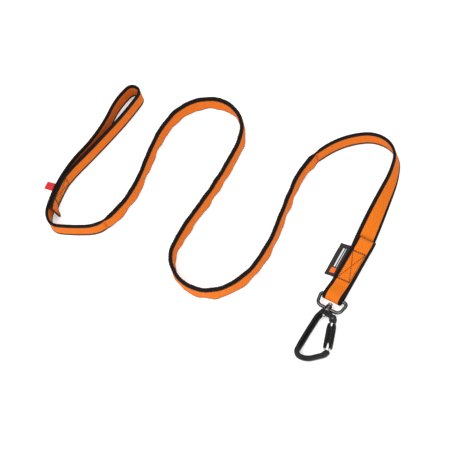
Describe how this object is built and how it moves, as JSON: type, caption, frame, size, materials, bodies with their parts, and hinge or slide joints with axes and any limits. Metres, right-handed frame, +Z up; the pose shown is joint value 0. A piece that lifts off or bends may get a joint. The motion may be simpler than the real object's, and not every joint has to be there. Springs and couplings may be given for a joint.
{
  "type": "elastic hand lanyard",
  "caption": "Elastic webbing lanyard with a flat sewn end, swivel eye and twist-lock carabiner, a gathered stretch length and a stitched hand loop.",
  "frame": {"origin": "on the ground, in the middle of the face that the flat sewn end of the strap rests on", "axes": "+Z up from the ground the lanyard lies on; +Y from the carabiner towards the flat sewn end of the strap; +X to the side of the swivel away from the hand loop"},
  "size_m": [0.3862, 0.2691, 0.0242],
  "materials": {
    "orange_webbing": "woven, black selvedges",
    "elastic_core": "matte",
    "brown_thread": "stitched",
    "black_label": "woven",
    "red_tab": "woven",
    "black_anodised": "black anodised, satin",
    "blackened_wire": "blackened, glossy",
    "bright_steel": "polished"
  },
  "bodies": {
    "sewn_end": {"web_sewn_end": "orange_webbing", "box_stitch_end": "brown_thread"},
    "eye": {"swivel_eye": "blackened_wire", "swivel_washer": "bright_steel"},
    "carabiner": {"carabiner_body": "black_anodised", "swivel_pin": "bright_steel", "gate_hinge_pin": "bright_steel"},
    "gate": {"gate_barrel": "bright_steel", "gate_spring": "bright_steel", "sleeve_spring": "bright_steel", "sleeve_guide_pin": "bright_steel"},
    "sleeve": {"lock_sleeve": "black_anodised"},
    "label": {"label": "black_label"},
    "front_length": {"web_twist": "orange_webbing"},
    "bungee_1": {"web_bungee_1": "orange_webbing", "elastic_core_1": "elastic_core", "bartack_front": "brown_thread"},
    "bungee_2": {"web_bungee_2": "orange_webbing", "elastic_core_2": "elastic_core"},
    "bungee_3": {"web_bungee_3": "orange_webbing", "elastic_core_3": "elastic_core"},
    "bungee_4": {"web_bungee_4": "orange_webbing", "elastic_core_4": "elastic_core"},
    "bungee_5": {"web_bungee_5": "orange_webbing", "elastic_core_5": "elastic_core"},
    "bungee_6": {"web_bungee_6": "orange_webbing", "elastic_core_6": "elastic_core", "bartack_rear": "brown_thread"},
    "handle_base": {"web_handle_base": "orange_webbing", "web_handle_tail": "orange_webbing", "box_stitch_handle": "brown_thread"},
    "tab": {"side_tab": "red_tab"},
    "hand_loop": {"web_handle_loop": "orange_webbing"}
  },
  "joints": [
    {"name": "end_flex", "type": "hinge", "parent": "front_length", "child": "sewn_end", "pos_m": [-0.00448, 0.06082, 0.0067], "axis": [-0.884, -0.0892, 0.4589], "range_deg": [0, 60]},
    {"name": "front_bend", "type": "hinge", "parent": "front_length", "child": "bungee_1", "pos_m": [-0.04694, 0.1592, 0.0115], "axis": [0, 0, -1], "range_deg": [-15, 40]},
    {"name": "bungee_stretch", "type": "slide", "parent": "bungee_1", "child": "bungee_2", "axis": [-0.0152, -0.9999, 0], "range_m": [0, 0.06]},
    {"name": "lower_bend", "type": "hinge", "parent": "bungee_2", "child": "bungee_3", "pos_m": [-0.14452, -0.09687, 0.0115], "axis": [0, 0, 1], "range_deg": [-15, 40]},
    {"name": "bungee_stretch_middle", "type": "slide", "parent": "bungee_3", "child": "bungee_4", "axis": [0.0121, 0.9999, 0], "range_m": [0, 0.06]},
    {"name": "upper_bend", "type": "hinge", "parent": "bungee_4", "child": "bungee_5", "pos_m": [-0.23068, 0.11841, 0.0115], "axis": [0, 0, -1], "range_deg": [-15, 40]},
    {"name": "bungee_stretch_rear", "type": "slide", "parent": "bungee_5", "child": "bungee_6", "axis": [-0.0072, -1, 0], "range_m": [0, 0.06]},
    {"name": "handle_bend", "type": "hinge", "parent": "bungee_6", "child": "handle_base", "pos_m": [-0.29875, -0.09875, 0.0115], "axis": [0, 0, 1], "range_deg": [-6, 45]},
    {"name": "loop_flex", "type": "hinge", "parent": "handle_base", "child": "hand_loop", "pos_m": [-0.34426, -0.04631, 0.0115], "axis": [0, 0, 1], "range_deg": [-4, 25]},
    {"name": "eye_pivot", "type": "hinge", "parent": "sewn_end", "child": "eye", "pos_m": [0.00292, -0.02998, 0.00535], "axis": [-1, 0, 0], "range_deg": [0, 120]},
    {"name": "carabiner_swivel", "type": "hinge", "parent": "eye", "child": "carabiner", "pos_m": [0.00292, -0.04118, 0.00535], "axis": [0, 1, 0], "continuous": true},
    {"name": "gate_hinge", "type": "hinge", "parent": "carabiner", "child": "gate", "pos_m": [0.01392, -0.05187, 0.00535], "axis": [0, 0, -1], "range_deg": [0, 25]},
    {"name": "sleeve_twist", "type": "hinge", "parent": "gate", "child": "sleeve", "pos_m": [0.01392, -0.05187, 0.00535], "axis": [0.3502, -0.9367, 0], "range_deg": [0, 90]},
    {"name": "label_flex", "type": "hinge", "parent": "sewn_end", "child": "label", "pos_m": [-0.01272, 0.01236, 0.00335], "axis": [-0.0518, 0.9987, 0], "range_deg": [-10, 90]},
    {"name": "tab_flex", "type": "hinge", "parent": "handle_base", "child": "tab", "pos_m": [-0.34548, -0.06806, 0.0238], "axis": [-0.1818, 0.9833, 0], "range_deg": [-35, 60]}
  ],
  "couplings": [
    {"joint": "bungee_stretch_middle", "follows": "bungee_stretch", "ratio": 1},
    {"joint": "bungee_stretch_rear", "follows": "bungee_stretch", "ratio": 1}
  ]
}
